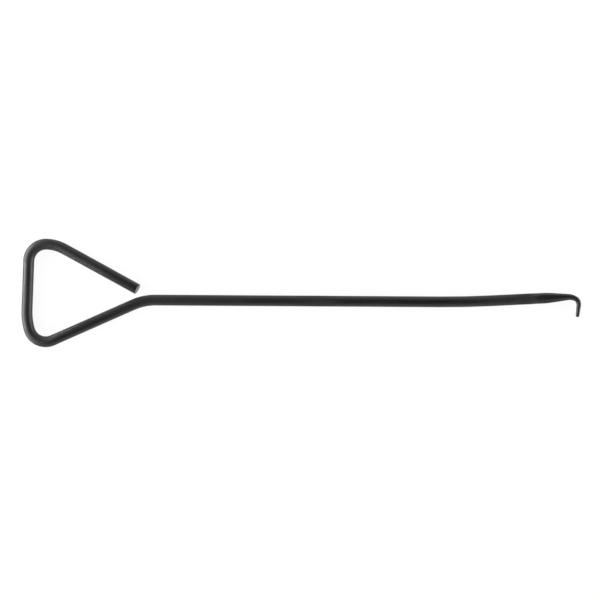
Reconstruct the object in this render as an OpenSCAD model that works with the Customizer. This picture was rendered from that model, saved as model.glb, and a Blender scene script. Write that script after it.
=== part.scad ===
// Brake spring hook, bent from one length of round steel bar.
// One end is an open triangular handle. The other is drawn down to a slim taper and turned
// into a small hook, which catches the eye of a brake spring and pulls it over its post.
// The tool lies flat: the shaft runs along X with the hook at +X, and Z points up.
// Angles are in degrees. The origin is under the middle of the tool, on the surface it lies on.

/* [Bar] */
// Diameter of the round bar
bar_d = 6; // [5:0.5:8]
// Lean of the cropped face at the free end, away from square
crop_lean = 6; // [0:0.5:10]

/* [Shaft] */
// Straight length of the shaft
shaft_l = 157.5; // [60:0.1:400]
// Angle of the slight set near the hook
set_turn = 3.15; // [0:0.05:8]
// Radius of that set
set_r = 500; // [100:10:900]
// Straight length from the set to the start of the drawn taper
rise_l = 29.9; // [15:0.1:100]

/* [Handle] */
// Radius of the bend between the shaft and the handle
neck_r = 30.3; // [15:0.1:60]
// Slope of the handle's shaft leg
leg_slope = 24.2; // [15:0.1:35]
// Straight length of the shaft leg
leg_l = 48.7; // [35:0.1:80]
// Straight length of the grip
grip_l = 27.1; // [18:0.1:60]
// Lean of the grip, away from square to the shaft
grip_lean = 1.7; // [0:0.1:5]
// Tight radius in the corner between the shaft leg and the grip
shaft_corner_r = 9.4; // [7:0.1:14]
// Easy radius that runs from that corner into the grip
shaft_corner_easy_r = 35.8; // [20:0.1:50]
// Angle turned at that easy radius
shaft_corner_easy_turn = 17.4; // [5:0.1:30]
// Tight radius in the corner between the grip and the free leg
free_corner_r = 9.6; // [7:0.1:14]
// Angle turned at that tight radius
free_corner_turn = 90; // [70:0.5:100]
// Easy radius that runs from that corner into the free leg
free_corner_easy_r = 21.8; // [14:0.1:30]
// Gap between the neck bend and a ball of the bar's size on the free end
end_gap = 1.3; // [0.5:0.1:6]
// Place of the free end over the neck bend, as an angle back from the shaft
end_place = 15.5; // [5:0.1:20]

/* [Drawn taper] */
// Length over which the flats run out up the round bar
flat_lead = 8; // [4:0.5:12]
// Length of the straight taper
draw_l = 13; // [8:0.1:25]
// Width between the side flats where the taper starts. Over the bar's diameter, the round bar shows
heel_w = 6.3; // [5:0.1:8]
// Thickness there, between the flats above and below
heel_t = 4.8; // [4:0.1:6]
// Width at the end of the taper, in the plane of the tool
waist_w = 3.5; // [2.8:0.1:4.5]
// Thickness there, square to that plane
waist_t = 3.6; // [2.8:0.1:4.5]

/* [Facets] */
// Place of the outer facets, as a share of the way to the square corner: 0.71 is an even octagon
outer_cut = 0.73; // [0.65:0.01:0.9]
// Place of the broader inner facets, on the side that the hook turns to
inner_cut = 0.62; // [0.55:0.01:0.9]
// Lean of the inner facets from the flats at the start of the taper. It is 45 at the crown
inner_lean = 28; // [20:1:45]
// How crisp the edges between the flats are
crispness = 24; // [8:1:40]

/* [Hook] */
// Easy radius that leads into the hook
lead_r = 8.8; // [6:0.1:16]
// Angle turned at that radius
lead_turn = 31; // [15:0.1:40]
// Tight radius at the crown of the hook
crown_r = 2.6; // [2.3:0.1:6]
// Angle turned at that radius
crown_turn = 35.5; // [25:0.5:50]
// Radius that runs out into the beak
beak_r = 5.1; // [3:0.1:9]
// Angle turned at that radius
beak_turn = 33.6; // [20:0.1:45]
// Straight length of the beak
beak_l = 6.1; // [4:0.1:15]
// Width where the crown begins
crown_w = 2.7; // [2.2:0.1:4]
// Thickness where the crown begins
crown_t = 3.2; // [2.4:0.1:4]
// Width where the beak begins
beak_w = 2.3; // [1.8:0.1:3.6]
// Thickness where the beak begins
beak_t = 2.8; // [2:0.1:3.6]
// Width at the point
point_w = 1.75; // [1:0.05:2]
// Thickness at the point
point_t = 1.9; // [1:0.1:2]
// Length of the point's blunt rounding
nose_l = 0.6; // [0.3:0.1:1.5]

/* [Hidden] */
$fn = 72;

bar_r = bar_d / 2;

// A bend leaves the bar a hair fuller than its straights, the more so the tighter it is, and each
// stretch runs on past its joint by the lap, so that the bar is one solid from end to end.
least_swell = 0.01;
tight_swell = 0.3;
lap = 0.1;
function bent_r(r) = bar_r + least_swell + tight_swell / r;

// The tool lies on its tightest bends, which sets the height of the bar's middle line.
axis_z = bent_r(min(shaft_corner_r, free_corner_r));

// The loft of the tip starts this far inside the bar, a hair under its surface.
seat_l = 0.5;
seat_under = 0.02;
tip_sides = 40;
straight_step = 1;
bent_step = 0.6;
nose_step = 15;

// A run is a list of steps, [straight length, bend radius, turn], where a turn to the left is positive.
// A pose is [x, y, heading], at the middle of the bar.
function bend_length(step) = step[1] * abs(step[2]) * PI / 180;
function ahead(pose, l) = [pose.x + l * cos(pose.z), pose.y + l * sin(pose.z), pose.z];
function turned(pose, r, turn) =
    let (side = sign(turn) * r, heading = pose.z + turn)
    [
        pose.x + side * (sin(heading) - sin(pose.z)),
        pose.y - side * (cos(heading) - cos(pose.z)),
        heading
    ];
function pose_after(pose, run, steps) =
    steps == 0 ? pose :
    let (before = pose_after(pose, run, steps - 1), step = run[steps - 1])
    turned(ahead(before, step[0]), step[1], step[2]);
function pose_at(pose, run, s, i = 0) =
    i == len(run) || s <= run[i][0] ? ahead(pose, s) :
    let (bend_start = ahead(pose, run[i][0]), rest = s - run[i][0], bend_l = bend_length(run[i]))
    rest <= bend_l
        ? turned(bend_start, run[i][1], run[i][2] * rest / bend_l)
        : pose_at(turned(bend_start, run[i][1], run[i][2]), run, rest - bend_l, i + 1);

// Both runs start at the shaft's hook end, which is at X = 0 before the origin is set.
// From there the handle run goes back along the shaft and round the handle to the free corner.
handle_start = [0, 0, 180];
shaft_corner_turn = 90 + leg_slope + grip_lean - shaft_corner_easy_turn;
to_free_corner = [
    [shaft_l, neck_r, leg_slope],
    [leg_l, shaft_corner_r, -shaft_corner_turn],
    [0, shaft_corner_easy_r, -shaft_corner_easy_turn],
    [grip_l, free_corner_r, -free_corner_turn]
];

// The free leg is a tangent from the free corner's easy bend to the middle of the cropped face,
// which stands over the neck bend.
end_reach = neck_r + bar_r + end_gap + bar_r;
free_end = [-shaft_l - end_reach * sin(end_place), end_reach * cos(end_place) - neck_r];
easy_start = pose_after(handle_start, to_free_corner, len(to_free_corner));
easy_centre = [
    easy_start.x + free_corner_easy_r * sin(easy_start.z),
    easy_start.y - free_corner_easy_r * cos(easy_start.z)
];
to_end = free_end - easy_centre;
free_leg_l = sqrt(to_end * to_end - free_corner_easy_r * free_corner_easy_r);
free_leg_heading = atan2(to_end.y, to_end.x) - atan2(free_corner_easy_r, free_leg_l);
handle_run = concat(to_free_corner, [[0, free_corner_easy_r, free_leg_heading - easy_start.z]]);
free_leg_start = pose_after(handle_start, handle_run, len(handle_run));

// The hook run carries the set and the straight bar up to where the flats start. The tip run goes
// on from there.
hook_start = [0, 0, 0];
hook_run = [
    [0, set_r, set_turn],
    [rise_l - flat_lead, 0, 0]
];
tip_start = pose_after(hook_start, hook_run, len(hook_run));
tip_run = [
    [flat_lead + draw_l, lead_r, -lead_turn],
    [0, crown_r, -crown_turn],
    [0, beak_r, -beak_turn]
];

// Distances along the tip at which its width and thickness are given. The flats start clear of
// the round bar.
heel_s = flat_lead;
waist_s = heel_s + draw_l;
crown_s = waist_s + bend_length(tip_run[0]);
beak_s = crown_s + bend_length(tip_run[1]) + bend_length(tip_run[2]);
tip_l = beak_s + beak_l;
clear_d = 1.1 * bar_d;
tip_w = [
    [0, clear_d], [heel_s, heel_w], [waist_s, waist_w], [crown_s, crown_w], [beak_s, beak_w], [tip_l, point_w]
];
tip_t = [
    [0, clear_d], [heel_s, heel_t], [waist_s, waist_t], [crown_s, crown_t], [beak_s, beak_t], [tip_l, point_t]
];
tip_lean = [[heel_s, inner_lean], [crown_s, 45]];
tip_outer_cut = [[0, even_cut(45)], [heel_s, outer_cut]];
tip_inner_cut = [[0, even_cut(inner_lean)], [heel_s, inner_cut], [crown_s, inner_cut], [beak_s, outer_cut]];

// A facet that leans from the flat, and its distance from the middle of a section of half sizes
// w and t. An even cut puts it as far out as the flats of a square section.
function even_cut(lean) = 1 / (sin(lean) + cos(lean));
function facet(lean, cut, w, t) = cut * (w * sin(lean) + t * cos(lean));

// A section is the round bar cut by flats, [direction, distance], with softened edges between them.
// Its corners come out a little inside the flats.
function flats(s) =
    let (
        w = lookup(s, tip_w) / 2,
        t = lookup(s, tip_t) / 2,
        lean = lookup(s, tip_lean),
        outer = facet(45, lookup(s, tip_outer_cut), w, t),
        inner = facet(lean, lookup(s, tip_inner_cut), w, t)
    )
    [
        [0, w], [180, w], [90, t], [270, t],
        [45, outer], [315, outer], [90 + lean, inner], [270 - lean, inner]
    ];
function cut_share(a, flat) = pow(max(cos(a - flat[0]), 0) / flat[1], crispness);
function section_radius(a, flats) =
    pow(pow(1 / seat_r, crispness) + sum([for (f = flats) cut_share(a, f)]), -1 / crispness);
function sum(values) = values * [for (v = values) 1];

// The sections stand square to the tip's middle line, which starts at the origin here and heads
// along X.
function ring(s, radii) =
    let (p = pose_at([0, 0, 0], tip_run, s))
    [
        for (i = [0 : tip_sides - 1])
            let (a = i * 360 / tip_sides, r = radii[i])
            [p.x - r * cos(a) * sin(p.z), p.y + r * cos(a) * cos(p.z), r * sin(a)]
    ];
function tip_ring(s, shrink = 1) =
    let (flats = flats(s))
    ring(s, [for (i = [0 : tip_sides - 1]) shrink * section_radius(i * 360 / tip_sides, flats)]);

seat_r = bar_r - seat_under;
nose_start = tip_l - nose_l;
tip_rings = concat(
    [for (s = [-seat_l, 0]) ring(s, [for (i = [1 : tip_sides]) seat_r])],
    [for (s = [straight_step : straight_step : waist_s - bent_step / 2]) tip_ring(s)],
    [for (s = [waist_s : bent_step : nose_start - bent_step / 2]) tip_ring(s)],
    [for (a = [0 : nose_step : 90 - nose_step]) tip_ring(nose_start + nose_l * sin(a), cos(a))]
);
point_pose = pose_at([0, 0, 0], tip_run, tip_l);
tip_points = concat([for (points = tip_rings) each points], [[point_pose.x, point_pose.y, 0]]);

// The box around the tool, which sets the origin. Its left and its two long sides are at bends of
// the handle, and its right is at the hook.
bend_parts = 200;
bend_marks = [
    for (i = [0 : len(handle_run) - 1], k = [0 : bend_parts])
        let (step = handle_run[i], start = ahead(pose_after(handle_start, handle_run, i), step[0]))
        concat(turned(start, step[1], step[2] * k / bend_parts), bent_r(step[1]))
];
x_low = min([for (m = bend_marks) m.x - m[3]]);
x_high = tip_start.x + max([for (p = tip_points) p.x * cos(tip_start.z) - p.y * sin(tip_start.z)]);
y_low = min([for (m = bend_marks) m.y - m[3]]);
y_high = max([for (m = bend_marks) m.y + m[3]]);
middle = [(x_low + x_high) / 2, (y_low + y_high) / 2, 0];

// Puts what starts at the origin and heads along X at a pose
module at(pose) {
    translate([pose.x, pose.y, axis_z])
    rotate([0, 0, pose.z])
    children();
}

module straight(l) {
    translate([-lap, 0, 0])
    rotate([0, 90, 0])
    cylinder(r = bar_r, h = l + 2 * lap);
}

// A bend to the left, or to the right where the turn is negative
module bend(r, turn) {
    lap_turn = lap / r * 180 / PI;
    mirror([0, turn < 0 ? 1 : 0, 0])
    translate([0, r, 0])
    rotate([0, 0, -90 - lap_turn])
    rotate_extrude(angle = abs(turn) + 2 * lap_turn)
    translate([r, 0])
    circle(r = bent_r(r));
}

module bar_along(pose, run) {
    for (i = [0 : len(run) - 1])
        at(pose_after(pose, run, i)) {
            if (run[i][0] > 0) straight(run[i][0]);
            if (bend_length(run[i]) > 0) translate([run[i][0], 0, 0]) bend(run[i][1], run[i][2]);
        }
}

// The shear leaves the end of the free leg leaning back, so that its face looks slightly upward.
module free_leg() {
    at(free_leg_start)
    difference() {
        straight(free_leg_l + bar_r);
        translate([free_leg_l, 0, 0])
        rotate([0, -crop_lean, 0])
        translate([0, -bar_d, -bar_d])
        cube(2 * bar_d);
    }
}

// The drawn tip with its flats and the hook, as one loft of sections square to the bar's middle line.
// It closes on the middle of the point, because a cap's corners would lie in line along the flats.
module hook_tip() {
    last = len(tip_rings) - 1;
    point_i = len(tip_points) - 1;
    polyhedron(
        points = tip_points,
        faces = concat(
            [[for (i = [0 : tip_sides - 1]) i]],
            [
                for (k = [0 : last - 1], i = [0 : tip_sides - 1])
                    let (j = (i + 1) % tip_sides, low = k * tip_sides, high = low + tip_sides)
                    each [[low + i, high + j, low + j], [low + i, high + i, high + j]]
            ],
            [
                for (i = [0 : tip_sides - 1])
                    [last * tip_sides + i, point_i, last * tip_sides + (i + 1) % tip_sides]
            ]
        )
    );
}

module brake_spring_hook() {
    color([0.16, 0.16, 0.165])
    translate(-middle) {
        bar_along(handle_start, handle_run);
        free_leg();
        bar_along(hook_start, hook_run);
        at(tip_start) hook_tip();
    }
}

brake_spring_hook();
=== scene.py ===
# Brake spring hook: one length of 6 mm steel bar with a thin satin black coat, bent into an open
# triangular handle at one end and drawn down to a small hook at the other. It lies on its flat side
# and is seen straight from above. The bar is sized in mm and goes to metres when its mesh is made.
import math

import bpy
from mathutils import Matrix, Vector, noise


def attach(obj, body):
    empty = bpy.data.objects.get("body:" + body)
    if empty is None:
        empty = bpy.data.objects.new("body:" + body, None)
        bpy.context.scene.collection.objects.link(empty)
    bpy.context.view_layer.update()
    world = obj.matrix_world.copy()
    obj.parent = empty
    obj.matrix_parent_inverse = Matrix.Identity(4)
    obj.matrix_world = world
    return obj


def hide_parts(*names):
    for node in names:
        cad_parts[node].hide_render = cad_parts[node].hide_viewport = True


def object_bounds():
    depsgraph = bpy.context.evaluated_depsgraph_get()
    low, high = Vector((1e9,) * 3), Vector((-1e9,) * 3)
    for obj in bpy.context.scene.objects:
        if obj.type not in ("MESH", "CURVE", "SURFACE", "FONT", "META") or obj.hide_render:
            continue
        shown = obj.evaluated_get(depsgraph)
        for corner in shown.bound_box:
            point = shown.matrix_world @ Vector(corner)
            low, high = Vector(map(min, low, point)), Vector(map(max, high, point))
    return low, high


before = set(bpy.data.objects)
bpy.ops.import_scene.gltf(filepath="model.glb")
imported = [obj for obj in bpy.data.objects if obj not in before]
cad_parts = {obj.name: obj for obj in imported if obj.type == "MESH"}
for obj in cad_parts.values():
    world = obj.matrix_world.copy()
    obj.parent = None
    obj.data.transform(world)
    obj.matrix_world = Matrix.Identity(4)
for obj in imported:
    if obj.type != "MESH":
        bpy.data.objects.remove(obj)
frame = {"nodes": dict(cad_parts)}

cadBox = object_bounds()
hookNode = "brake_spring_hook"
mm = 0.001
print("frame loaded:", ", ".join(frame["nodes"]))


def toLinear(hexColour):
    # sRGB hex to the linear colour that the nodes work in
    parts = [int(hexColour[i : i + 2], 16) / 255 for i in (1, 3, 5)]
    linear = [c / 12.92 if c <= 0.04045 else ((c + 0.055) / 1.055) ** 2.4 for c in parts]
    return (*linear, 1.0)


def addNode(tree, kind, settings=(), **inputs):
    # settings are the node's own options; an input takes a value, or a socket to link from. Inputs
    # go by name, or as in0, in1 and so on where several share one
    node = tree.nodes.new(kind)
    for name, value in dict(settings).items():
        setattr(node, name, value)
    for name, value in inputs.items():
        key = int(name[2:]) if name.startswith("in") else name.replace("_", " ")
        socket = node.inputs[key]
        if isinstance(value, bpy.types.NodeSocket):
            tree.links.new(value, socket)
        else:
            socket.default_value = value
    return node


def newMaterial(name):
    material = bpy.data.materials.new(name)
    material.use_nodes = True
    material.node_tree.nodes.clear()
    return material, material.node_tree


# The bar: its bends in the order that a shop would make them, from the cropped end to the taper.
# Turns are in degrees
barSizes = {
    "diameter": 6.0,
    "cropLean": 6.0,           # the cropped face leans back, so it looks slightly up
    "cropRound": 0.06,         # the rounded rim of that face
    "shaft": 157.5,
    "setTurn": 3.15,           # the slight set near the hook
    "setRadius": 500.0,
    "rise": 29.9,              # straight from the set to the drawn taper
    "neckRadius": 30.3,
    "legSlope": 24.2,
    "leg": 48.7,
    "grip": 27.1,
    "gripLean": 1.7,
    "shaftCornerRadius": 9.4,
    "shaftCornerEasyRadius": 35.8,
    "shaftCornerEasyTurn": 17.4,
    "freeCornerRadius": 9.6,
    "freeCornerTurn": 90.0,
    "freeCornerEasyRadius": 21.8,
    "endGap": 1.3,             # between the free end and the neck bend
    "endPlace": 15.5,          # how far round the neck bend the free end stands
    "bendSwell": 0.3,          # a bend of radius r is this / r fuller
    "leastSwell": 0.01,        # and this much more
    "restHeight": 3.04,        # the bar's middle line over the surface that it lies on
}

# The tip: drawn down hot with a flat above and below, broad facets on the side that the hook turns
# to and narrow ones on the other, and then bent. Widths are in the plane of the tool and
# thicknesses square to it, between the flats
tipSizes = {
    "flatLead": 8.0,           # the flats run out this far up the round bar
    "flatStart": 1.03,         # and start just clear of it, at this many times its radius
    "marksIn": 4.0,            # the marks of the forging come in over this much of that
    "draw": 13.0,              # the straight taper
    "leadRadius": 8.8,
    "leadTurn": 31.0,
    "crownRadius": 2.6,
    "crownTurn": 35.5,
    "beakRadius": 5.1,
    "beakTurn": 33.6,
    "beak": 6.1,
    "heel": (6.3, 4.8),        # width and thickness where the taper starts
    "waist": (3.5, 3.6),       # where it ends
    "crown": (2.7, 3.2),       # where the crown of the bend begins
    "beakRoot": (2.3, 2.8),    # where the beak begins
    "point": (1.75, 1.9),
    "outerCut": 0.73,          # how far out the facets are, as a share of the way to the square
    "innerCut": 0.62,          # corner: 0.71 makes an even octagon
    "heelOuterCut": 0.76,      # the same at the heel, where the top flat is widest
    "heelInnerCut": 0.68,
    "outerLean": 45.0,         # degrees from the top flat to the outer facet
    "innerLean": 28.0,         # and to the inner one at the heel; at the crown they are the same
    "crispness": 24,           # the edges between the flats are rounder as this goes down
    "nose": 0.6,               # the rounded end of the point
    "dent": 0.015,             # how deep the hammer's dents are
    "dentSpacing": 2.4,        # from one to the next, along the tip
    "dentFineness": 0.9,       # and more of them round it as this goes up
    "smallDent": 0.35,         # small dents among them: their share of the depth
    "smallDentCount": 3.1,     # and how many to each large one
    "streak": 0.015,           # the drawing marks that run along the tip
    "streakLength": 7.0,
    "streakFineness": 3.5,
}

meshSizes = {
    "sides": 96,
    "straightStep": 2.0,
    "bendStep": 2.5,           # degrees
    "tipStep": 0.14,
    "faceGap": 1.0,            # no ring stands nearer than this to the cropped face
    "tipGap": 0.5,             # or to the first ring of the tip
    "faceRings": 10,
    "rimTurns": (0, 22.5, 45, 67.5, 90),
    "bareTurn": 45,            # the sheared look ends this far round the face's rim
    "noseTurns": (0, 15, 30, 45, 60, 75, 84),
}


def ahead(pose, length):
    x, y, heading = pose
    way = math.radians(heading)
    return (x + length * math.cos(way), y + length * math.sin(way), heading)


def turned(pose, radius, turn):
    x, y, heading = pose
    side = math.copysign(radius, turn)
    before, after = math.radians(heading), math.radians(heading + turn)
    return (
        x + side * (math.sin(after) - math.sin(before)),
        y - side * (math.cos(after) - math.cos(before)),
        heading + turn,
    )


def bendLength(radius, turn):
    return radius * math.radians(abs(turn))


def runLength(run):
    return sum(straight + bendLength(radius, turn) for straight, radius, turn in run)


def poseAfter(pose, run):
    for straight, radius, turn in run:
        pose = turned(ahead(pose, straight), radius, turn)
    return pose


def poseAt(pose, run, distance):
    # the place and heading, and the curvature, this far along a run of (straight, radius, turn)
    for straight, radius, turn in run:
        if distance <= straight:
            return ahead(pose, distance), 0.0
        distance -= straight
        pose = ahead(pose, straight)
        length = bendLength(radius, turn)
        if distance <= length:
            return turned(pose, radius, turn * distance / length), 1 / radius
        distance -= length
        pose = turned(pose, radius, turn)
    return ahead(pose, distance), 0.0


def mapTo(value, pairs):
    # straight lines between (place, value) pairs
    for (a, low), (b, high) in zip(pairs, pairs[1:]):
        if value <= b:
            return low + (high - low) * max(0.0, (value - a) / (b - a))
    return pairs[-1][1]


def layOutBar():
    # one run from the cropped face to the point, with the shaft's hook end at (0, 0)
    sizes, hook = barSizes, tipSizes
    shaftCornerTurn = 90 + sizes["legSlope"] + sizes["gripLean"] - sizes["shaftCornerEasyTurn"]
    # back from there to where the free corner's tight bend meets its easy one
    backwards = [
        (sizes["shaft"], sizes["neckRadius"], sizes["legSlope"]),
        (sizes["leg"], sizes["shaftCornerRadius"], -shaftCornerTurn),
        (0.0, sizes["shaftCornerEasyRadius"], -sizes["shaftCornerEasyTurn"]),
        (sizes["grip"], sizes["freeCornerRadius"], -sizes["freeCornerTurn"]),
    ]
    x, y, easyHeading = poseAfter((0.0, 0.0, 180.0), backwards)
    # the free leg is a tangent from the easy bend to the middle of the cropped face
    reach = sizes["neckRadius"] + sizes["diameter"] + sizes["endGap"]
    place = math.radians(sizes["endPlace"])
    end = Vector((
        -sizes["shaft"] - reach * math.sin(place),
        reach * math.cos(place) - sizes["neckRadius"],
    ))
    radius = sizes["freeCornerEasyRadius"]
    way = math.radians(easyHeading)
    toEnd = end - Vector((x + radius * math.sin(way), y - radius * math.cos(way)))
    freeLeg = math.sqrt(toEnd.length_squared - radius * radius)
    legHeading = math.degrees(math.atan2(toEnd.y, toEnd.x) - math.atan2(radius, freeLeg))
    easyTurn = (easyHeading - legHeading) % 360

    handleRun = [
        (freeLeg, radius, easyTurn),
        (0.0, sizes["freeCornerRadius"], sizes["freeCornerTurn"]),
        (sizes["grip"], sizes["shaftCornerEasyRadius"], sizes["shaftCornerEasyTurn"]),
        (0.0, sizes["shaftCornerRadius"], shaftCornerTurn),
        (sizes["leg"], sizes["neckRadius"], -sizes["legSlope"]),
    ]
    shaftRun = [(sizes["shaft"], sizes["setRadius"], sizes["setTurn"])]
    hookRun = [
        (sizes["rise"] + hook["draw"], hook["leadRadius"], -hook["leadTurn"]),
        (0.0, hook["crownRadius"], -hook["crownTurn"]),
        (0.0, hook["beakRadius"], -hook["beakTurn"]),
        (hook["beak"], 1.0, 0.0),  # and no bend after it
    ]
    heel = runLength(handleRun + shaftRun) + sizes["rise"]
    length = runLength(handleRun + shaftRun + hookRun)
    return {
        "start": (end.x, end.y, legHeading + 180),
        "run": handleRun + shaftRun + hookRun,
        # how far along it the shaft, the flats, the taper and the rounded nose begin
        "shaft": runLength(handleRun),
        "tip": heel - hook["flatLead"],
        "heel": heel,
        "nose": length - hook["nose"],
        "length": length,
    }


def tipFlats(along):
    # The eight flats that cut the round bar this far from the heel of the taper: the way that each
    # one faces, with 0 on the outer side and 90 up, and how far it is from the bar's middle
    hook = tipSizes
    crown = hook["draw"] + bendLength(hook["leadRadius"], hook["leadTurn"])
    beak = crown + bendLength(hook["crownRadius"], hook["crownTurn"])
    beak += bendLength(hook["beakRadius"], hook["beakTurn"])
    places = (0, hook["draw"], crown, beak, beak + hook["beak"])
    sizes = [hook[name] for name in ("heel", "waist", "crown", "beakRoot", "point")]
    runOut = (-hook["flatLead"], hook["flatStart"] * barSizes["diameter"] / 2)
    side = mapTo(along, [runOut] + [(place, size[0] / 2) for place, size in zip(places, sizes)])
    top = mapTo(along, [runOut] + [(place, size[1] / 2) for place, size in zip(places, sizes)])
    outerLean = hook["outerLean"]
    innerLean = mapTo(along, [(0, hook["innerLean"]), (crown, outerLean)])
    outerCuts = [(0, hook["heelOuterCut"]), (hook["draw"], hook["outerCut"])]
    innerCuts = [(0, hook["heelInnerCut"]), (crown, hook["innerCut"]), (beak, hook["outerCut"])]

    def facet(lean, cuts):
        s, c = math.sin(math.radians(lean)), math.cos(math.radians(lean))
        return (side * s + top * c) * mapTo(along, [(-hook["flatLead"], 1 / (s + c))] + cuts)

    outer = facet(outerLean, outerCuts)
    inner = facet(innerLean, innerCuts)
    return (
        (0, side), (180, side), (90, top), (270, top),
        (outerLean, outer), (360 - outerLean, outer),
        (90 + innerLean, inner), (270 - innerLean, inner),
    )


def cutRadius(flats, angle):
    # the round bar as the flats cut it, with softened corners between them
    crispness = tipSizes["crispness"]
    total = (2 / barSizes["diameter"]) ** crispness
    for facing, distance in flats:
        share = math.cos(math.radians(angle - facing))
        if share > 0:
            total += (share / distance) ** crispness
    return total ** (-1 / crispness)


def skinPlace(along, angle, length, fineness):
    # where a mark's noise is read, for marks this long and this fine round the tip
    a = math.radians(angle)
    return Vector((along / length, fineness * math.cos(a), fineness * math.sin(a)))


def tipRadius(flats, along, angle):
    # the cut bar with the hammer's dents and the drawing marks, which come in where the flats start
    hook = tipSizes
    half = barSizes["diameter"] / 2
    place = skinPlace(along, angle, hook["dentSpacing"], hook["dentFineness"])
    dents = noise.noise(place) + hook["smallDent"] * noise.noise(place * hook["smallDentCount"])
    streaks = noise.noise(skinPlace(along, angle, hook["streakLength"], hook["streakFineness"]))
    forged = cutRadius(flats, angle) + hook["dent"] * dents + hook["streak"] * streaks
    onTip = min(1.0, (along + hook["flatLead"]) / hook["marksIn"])
    onTip = onTip * onTip * (3 - 2 * onTip)
    return half + (forged - half) * onTip


def barRing(bar, distance, shrink=1.0, lean=0.0, push=0.0):
    # One ring of points round the bar, and where they would be if it were straight again. For the
    # cropped face it is shrunk, leant back and pushed along
    pose, curvature = poseAt(bar["start"], bar["run"], distance)
    heading = math.radians(pose[2])
    along = distance - bar["heel"]
    flats = tipFlats(along) if distance > bar["tip"] else ()
    swell = barSizes["leastSwell"] + barSizes["bendSwell"] * curvature if curvature else 0.0
    points, straightPoints = [], []
    for i in range(meshSizes["sides"]):
        angle = 360 * i / meshSizes["sides"]
        radius = tipRadius(flats, along, angle) if flats else barSizes["diameter"] / 2 + swell
        across = shrink * radius * math.cos(math.radians(angle))
        up = shrink * radius * math.sin(math.radians(angle))
        back = push - up * lean
        points.append((
            pose[0] - across * math.sin(heading) + back * math.cos(heading),
            pose[1] + across * math.cos(heading) + back * math.sin(heading),
            barSizes["restHeight"] + up,
        ))
        straightPoints.append((distance + back, across, up))
    return points, straightPoints


def spread(start, length, count):
    return [start + length * i / count for i in range(count)]


def ringPlaces(bar):
    # distances along the bar: far apart on the straights, closer in the bends, closest on the tip
    places = []
    travelled = 0.0
    for straight, radius, turn in bar["run"]:
        if straight:
            count = max(1, round(straight / meshSizes["straightStep"]))
            places += spread(travelled, straight, count)
        travelled += straight
        length = bendLength(radius, turn)
        count = max(1, math.ceil(abs(turn) / meshSizes["bendStep"]))
        places += spread(travelled, length, count)
        travelled += length
    places = [p for p in places if meshSizes["faceGap"] < p < bar["tip"] - meshSizes["tipGap"]]
    tipLength = bar["nose"] - bar["tip"]
    return places + spread(bar["tip"], tipLength, math.ceil(tipLength / meshSizes["tipStep"]))


def barRings(bar):
    # the cropped face as a fan of rings in the leaning plane, its rounded rim, the bar and the nose
    lean = math.tan(math.radians(-barSizes["cropLean"]))
    cropRound = barSizes["cropRound"]
    rim = cropRound / (barSizes["diameter"] / 2)
    count = meshSizes["faceRings"]
    rings = [barRing(bar, 0.0, (1 - rim) * i / count, lean) for i in range(1, count)]
    for turn in meshSizes["rimTurns"]:
        out, along = math.sin(math.radians(turn)), 1 - math.cos(math.radians(turn))
        rings.append(barRing(bar, 0.0, 1 - rim + rim * out, lean, cropRound * along))
    rings += [barRing(bar, place) for place in ringPlaces(bar)]
    for turn in meshSizes["noseTurns"]:
        along, out = math.sin(math.radians(turn)), math.cos(math.radians(turn))
        rings.append(barRing(bar, bar["nose"] + tipSizes["nose"] * along, out))
    return rings


def skinFaces(ringCount):
    # quads between the rings, and a fan from each end's own middle point
    sides = meshSizes["sides"]
    first = ringCount * sides
    last = first + 1
    top = first - sides
    faces = []
    for k in range(ringCount - 1):
        for i in range(sides):
            j = (i + 1) % sides
            faces.append((k * sides + i, k * sides + j, (k + 1) * sides + j, (k + 1) * sides + i))
    for i in range(sides):
        j = (i + 1) % sides
        faces.append((first, j, i))
        faces.append((last, top + i, top + j))
    return faces


def inFrame(points):
    # mm to metres, with the middle of the plan over the CAD's, because the frame's origin is there
    low = [min(point[k] for point in points) for k in (0, 1)]
    high = [max(point[k] for point in points) for k in (0, 1)]
    print("plan size of the bar:", [round(high[k] - low[k], 2) for k in (0, 1)], "mm")
    middle = [(low[k] + high[k]) / 2 for k in (0, 1)]
    cadMiddle = [(cadBox[0][k] + cadBox[1][k]) / 2 for k in (0, 1)]
    return [
        ((x - middle[0]) * mm + cadMiddle[0], (y - middle[1]) * mm + cadMiddle[1], z * mm)
        for x, y, z in points
    ]


# Where the coat is duller or, below zero, glossier: the middle and half the length in mm, along the
# shaft from the neck bend, and how much roughness that adds. The handle is below zero, and the last
# two are where the smith's fire dulled the bar behind the tip
dullPlaces = (
    (-184.0, 20.0, -0.12),
    (-155.0, 28.0, 0.14),
    (-128.0, 22.0, 0.13),
    (-101.0, 30.0, 0.08),
    (-74.0, 22.0, 0.12),
    (-36.0, 28.0, -0.1),
    (22.0, 44.0, 0.16),
    (89.0, 16.0, 0.26),
    (195.0, 20.0, 0.2),
    (204.0, 7.5, 0.33),
)


def dulling(along):
    return sum(
        amount * (1 - ((along - middle) / reach) ** 2) ** 2
        for middle, reach, amount in dullPlaces
        if abs(along - middle) < reach
    )


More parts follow.
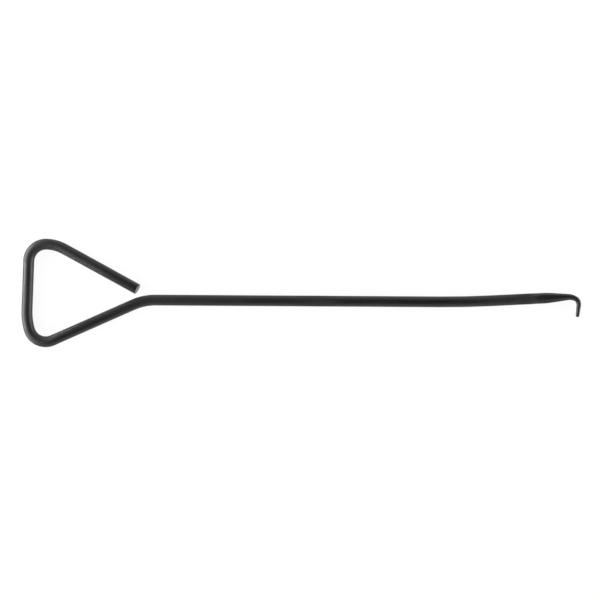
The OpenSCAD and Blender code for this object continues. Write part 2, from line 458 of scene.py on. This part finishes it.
def markForCoat(mesh, bar, straightPoints):
    # Where each point would be if the bar were straight again, in mm, so that the coat's patterns
    # follow the bends, and how dulled, forged and cropped the bar is there
    attribute = mesh.attributes.new("straightBar", "FLOAT_VECTOR", "POINT")
    attribute.data.foreach_set("vector", [c for point in straightPoints for c in point])
    bareRim = sum(turn < meshSizes["bareTurn"] for turn in meshSizes["rimTurns"])
    onFace = (meshSizes["faceRings"] - 1 + bareRim) * meshSizes["sides"]
    faceMiddle = len(straightPoints) - 2
    alongBar = [point[0] for point in straightPoints]
    onTip = [(along - bar["tip"]) / tipSizes["marksIn"] for along in alongBar]
    looks = {
        "dulled": [dulling(along - bar["shaft"]) for along in alongBar],
        "forged": [min(1.0, max(0.0, share)) for share in onTip],
        "cropped": [float(i < onFace or i == faceMiddle) for i in range(len(alongBar))],
    }
    for name, values in looks.items():
        mesh.attributes.new(name, "FLOAT", "POINT").data.foreach_set("value", values)


def makeHook():
    bar = layOutBar()
    rings = barRings(bar)
    points = [point for ring in rings for point in ring[0]]
    straightPoints = [point for ring in rings for point in ring[1]]
    # the middles of the cropped face and of the point
    for distance in (0.0, bar["length"]):
        pose, _ = poseAt(bar["start"], bar["run"], distance)
        points.append((pose[0], pose[1], barSizes["restHeight"]))
        straightPoints.append((distance, 0.0, 0.0))
    mesh = bpy.data.meshes.new("brakeSpringHook")
    mesh.from_pydata(inFrame(points), [], skinFaces(len(rings)))
    mesh.validate()
    mesh.polygons.foreach_set("use_smooth", [True] * len(mesh.polygons))
    markForCoat(mesh, bar, straightPoints)
    piece = bpy.data.objects.new("brakeSpringHook", mesh)
    bpy.context.scene.collection.objects.link(piece)
    return piece


hookPiece = makeHook()
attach(hookPiece, "root")
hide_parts(hookNode)
print("bar made:", len(hookPiece.data.polygons), "faces")


# Satin black dip coat on cold-drawn steel. The coat is smooth and thin, so the eye gets a near
# black body with soft, stretched reflections, a little uneven along the bar, and less even with
# fine scale where the tip was forged.
coatLook = {
    "deep": "#101011",
    "worn": "#1a1a1b",
    "ior": 1.5,
    "roughness": 0.33,
    "roughnessSpread": 0.08,
    "cloudEdges": (0.3, 0.7),  # the levels of the clouds' pattern between which roughness changes
    "forgedRoughness": -0.06,  # added to the bar's, on the tip
    "cropped": "#68686a",      # the sheared face, where the steel shows through a thin coat
    "croppedRoughness": 0.15,  # added to the bar's, on that face
    "mottleLength": 14.0,      # mm along the bar from one cloud in the coat to the next
    "mottleWidth": 3.0,
    "peelSize": 0.7,           # mm, the coat's own fine waves
    "peelStretch": 1.6,        # their length along the bar, in widths
    "peelHeight": 0.008,
    "dieLineSpacing": 0.35,    # mm round the bar; real ones are finer and would not show
    "dieLineStretch": 60,
    "dieLineHeight": 0.006,
    "scaleSize": 0.5,          # mm, forge scale under the coat at the tip
    "scaleHeight": 0.004,
}


def satinBlackDipCoat():
    look = coatLook
    material, tree = newMaterial("satinBlackDipCoat")
    straightBar = addNode(tree, "ShaderNodeAttribute", {"attribute_name": "straightBar"})
    place = straightBar.outputs["Vector"]
    forged, cropped, dulled = (
        addNode(tree, "ShaderNodeAttribute", {"attribute_name": name}).outputs["Fac"]
        for name in ("forged", "cropped", "dulled")
    )

    def pattern(length, width, detail=3.0, rough=0.55):
        # soft noise with one cloud to this length and width in mm on the straight bar
        scaled = addNode(
            tree, "ShaderNodeVectorMath", {"operation": "DIVIDE"},
            in0=place, in1=(length, width, width),
        )
        made = addNode(
            tree, "ShaderNodeTexNoise",
            Vector=scaled.outputs[0], Scale=1.0, Detail=detail, Roughness=rough,
        )
        return made.outputs["Fac"]

    mottle = pattern(look["mottleLength"], look["mottleWidth"])
    peel = pattern(look["peelSize"] * look["peelStretch"], look["peelSize"], detail=2.0)
    lineLength = look["dieLineSpacing"] * look["dieLineStretch"]
    dieLines = pattern(lineLength, look["dieLineSpacing"], detail=1.0)
    scale = pattern(look["scaleSize"], look["scaleSize"], detail=4.0, rough=0.6)

    coat = addNode(
        tree, "ShaderNodeMix", {"data_type": "RGBA"},
        Factor=mottle, in6=toLinear(look["deep"]), in7=toLinear(look["worn"]),
    ).outputs[2]
    colour = addNode(
        tree, "ShaderNodeMix", {"data_type": "RGBA"},
        Factor=cropped, in6=coat, in7=toLinear(look["cropped"]),
    ).outputs[2]
    # roughness: the coat's clouds, its dull places, the tip, and a duller cropped face
    clouds = addNode(
        tree, "ShaderNodeMapRange",
        Value=mottle, From_Min=look["cloudEdges"][0], From_Max=look["cloudEdges"][1],
        To_Min=look["roughness"] - look["roughnessSpread"],
        To_Max=look["roughness"] + look["roughnessSpread"],
    ).outputs["Result"]
    onBar = addNode(tree, "ShaderNodeMath", {"operation": "ADD"}, in0=clouds, in1=dulled).outputs[0]
    onTip = addNode(
        tree, "ShaderNodeMath", {"operation": "MULTIPLY_ADD"},
        in0=forged, in1=look["forgedRoughness"], in2=onBar,
    ).outputs[0]
    rough = addNode(
        tree, "ShaderNodeMath", {"operation": "MULTIPLY_ADD"},
        in0=cropped, in1=look["croppedRoughness"], in2=onTip,
    ).outputs[0]
    # height in metres, from the three fine patterns
    waves = addNode(
        tree, "ShaderNodeMath", {"operation": "MULTIPLY"}, in0=peel, in1=look["peelHeight"] * mm,
    ).outputs[0]
    lined = addNode(
        tree, "ShaderNodeMath", {"operation": "MULTIPLY_ADD"},
        in0=dieLines, in1=look["dieLineHeight"] * mm, in2=waves,
    ).outputs[0]
    scaleHere = addNode(
        tree, "ShaderNodeMath", {"operation": "MULTIPLY"}, in0=forged, in1=scale,
    ).outputs[0]
    height = addNode(
        tree, "ShaderNodeMath", {"operation": "MULTIPLY_ADD"},
        in0=scaleHere, in1=look["scaleHeight"] * mm, in2=lined,
    ).outputs[0]
    bump = addNode(tree, "ShaderNodeBump", Height=height, Distance=1.0, Strength=1.0)
    shader = addNode(
        tree, "ShaderNodeBsdfPrincipled",
        Base_Color=colour, Roughness=rough, IOR=look["ior"], Metallic=0.0,
        Normal=bump.outputs["Normal"],
    )
    addNode(tree, "ShaderNodeOutputMaterial", Surface=shader.outputs[0])
    return material


hookPiece.data.materials.append(satinBlackDipCoat())
print("coat made")


# White paper table: a matt sheet that scatters the light, so the bar shades it as any other. Eye,
# reflections and see-through rays find it white. Reflections keep more of its shade, so that the
# undersides of the bar darken where they come close to it.
tableLook = {
    "reach": 30.0,             # metres from the middle to each edge
    "drop": 0.05,              # mm from the bar down to it
    "paper": "#f0f0f0",
    "white": 1.05,
    "seen": 0.88,              # how much of that white the eye finds, and how much a reflection
    "mirrored": 0.5,
}


def whiteTable():
    look = tableLook
    mesh = bpy.data.meshes.new("table")
    reach, height = look["reach"], -look["drop"] * mm
    corners = [(x * reach, y * reach, height) for x, y in ((-1, -1), (1, -1), (1, 1), (-1, 1))]
    mesh.from_pydata(corners, [], [(0, 1, 2, 3)])
    table = bpy.data.objects.new("table", mesh)
    bpy.context.scene.collection.objects.link(table)
    material, tree = newMaterial("whitePaperTable")
    rays = addNode(tree, "ShaderNodeLightPath")
    straightRays = addNode(
        tree, "ShaderNodeMath", {"operation": "MAXIMUM"},
        in0=rays.outputs["Is Camera Ray"], in1=rays.outputs["Is Transmission Ray"],
    )
    seen = addNode(
        tree, "ShaderNodeMath", {"operation": "MULTIPLY"},
        in0=straightRays.outputs[0], in1=look["seen"],
    )
    share = addNode(
        tree, "ShaderNodeMath", {"operation": "MULTIPLY_ADD"},
        in0=rays.outputs["Is Glossy Ray"], in1=look["mirrored"], in2=seen.outputs[0],
    )
    paper = addNode(tree, "ShaderNodeBsdfDiffuse", Color=toLinear(look["paper"]))
    white = addNode(
        tree, "ShaderNodeEmission", Color=toLinear("#ffffff"), Strength=look["white"],
    )
    mixed = addNode(
        tree, "ShaderNodeMixShader",
        Fac=share.outputs[0], in1=paper.outputs[0], in2=white.outputs[0],
    )
    addNode(tree, "ShaderNodeOutputMaterial", Surface=mixed.outputs[0])
    mesh.materials.append(material)


whiteTable()
print("table made")

# Studio, in metres: white walls that fade to a dark opening overhead, a low strip and a soft box on
# the handle's side, a faint low strip behind the shaft, a low box and a very faint high one on the
# hook's side, and a faint ceiling panel
studio = {
    # how high one looks, from 0 at the horizon to 1 straight up, and the walls' strength there
    "walls": ((0.0, 1.4), (0.25, 0.85), (0.6, 0.6), (0.88, 0.12), (0.97, 0.0)),
    "boxes": {
        "handleStrip": {
            "place": (-0.30, 0.014, 0.04),
            "aim": (-0.05, 0.0, 0.0),
            "size": (0.36, 0.068),
            "radiance": 10.2,
        },
        "backStrip": {
            "place": (0.0, 0.35, 0.03),
            "aim": (0.0, 0.0, 0.0),
            "size": (0.7, 0.05),
            "radiance": 0.7,
        },
        "handleBox": {
            "place": (-0.45, -0.02, 0.32),
            "aim": (-0.08, 0.0, 0.0),
            "size": (0.5, 0.22),
            "radiance": 2.9,
        },
        "hookBox": {
            "place": (0.50, 0.0, 0.085),
            "aim": (0.09, 0.0, 0.0),
            "size": (0.5, 0.155),
            "radiance": 9.3,
        },
        "hookFill": {
            "place": (0.35, 0.0, 0.60),
            "aim": (0.06, 0.0, 0.0),
            "size": (0.4, 0.3),
            "radiance": 0.16,
        },
        "ceiling": {
            "place": (-0.38, 0.0, 0.74),
            "aim": (-0.38, 0.0, 0.0),
            "size": (0.9, 0.66),
            "radiance": 0.3,
        },
    },
}


def makeWalls():
    world = bpy.data.worlds.new("studio")
    bpy.context.scene.world = world
    world.use_nodes = True
    tree = world.node_tree
    tree.nodes.clear()
    place = addNode(tree, "ShaderNodeTexCoord")
    split = addNode(tree, "ShaderNodeSeparateXYZ", Vector=place.outputs["Generated"])
    fade = addNode(tree, "ShaderNodeFloatCurve", Value=split.outputs["Z"])
    line = fade.mapping.curves[0]
    brightest = max(strength for _, strength in studio["walls"])
    line.points[0].location = (0.0, studio["walls"][0][1] / brightest)
    line.points[1].location = (1.0, 0.0)
    for height, strength in studio["walls"][1:]:
        line.points.new(height, strength / brightest)
    fade.mapping.update()
    glow = addNode(
        tree, "ShaderNodeMath", {"operation": "MULTIPLY"}, in0=fade.outputs[0], in1=brightest,
    )
    light = addNode(
        tree, "ShaderNodeBackground", Color=toLinear("#ffffff"), Strength=glow.outputs[0],
    )
    addNode(tree, "ShaderNodeOutputWorld", Surface=light.outputs[0])


def softBox(name, box):
    light = bpy.data.lights.new(name, "AREA")
    light.shape = "RECTANGLE"
    light.size, light.size_y = box["size"]
    light.energy = box["radiance"] * math.pi * light.size * light.size_y
    lamp = bpy.data.objects.new(name, light)
    lamp.location = box["place"]
    lamp.rotation_mode = "QUATERNION"
    lamp.rotation_quaternion = (Vector(box["aim"]) - Vector(box["place"])).to_track_quat("-Z", "Y")
    lamp.visible_camera = False
    bpy.context.scene.collection.objects.link(lamp)


makeWalls()
for name, box in studio["boxes"].items():
    softBox(name, box)
print("lights made")

# Camera: straight above, with the picture's own scale and slight turn
photoView = {
    "mmPerPixel": 0.553,
    "pixels": 600,
    "middle": (-0.69, -3.01),  # mm; what the middle of the picture shows
    "turn": 0.36,              # degrees
    "height": 700.0,           # mm
    "sensor": 36.0,
    "clip": (0.05, 60.0),      # metres
}


def makeCamera():
    look = photoView
    data = bpy.data.cameras.new("overhead")
    data.sensor_width = look["sensor"]
    distance = look["height"] - barSizes["restHeight"]
    data.lens = look["sensor"] * distance / (look["mmPerPixel"] * look["pixels"])
    data.clip_start, data.clip_end = look["clip"]
    camera = bpy.data.objects.new("overhead", data)
    camera.location = (look["middle"][0] * mm, look["middle"][1] * mm, look["height"] * mm)
    camera.rotation_euler = (0.0, 0.0, math.radians(look["turn"]))
    bpy.context.scene.collection.objects.link(camera)
    bpy.context.scene.camera = camera


makeCamera()
bpy.context.scene.view_settings.view_transform = "Standard"
print("camera made")
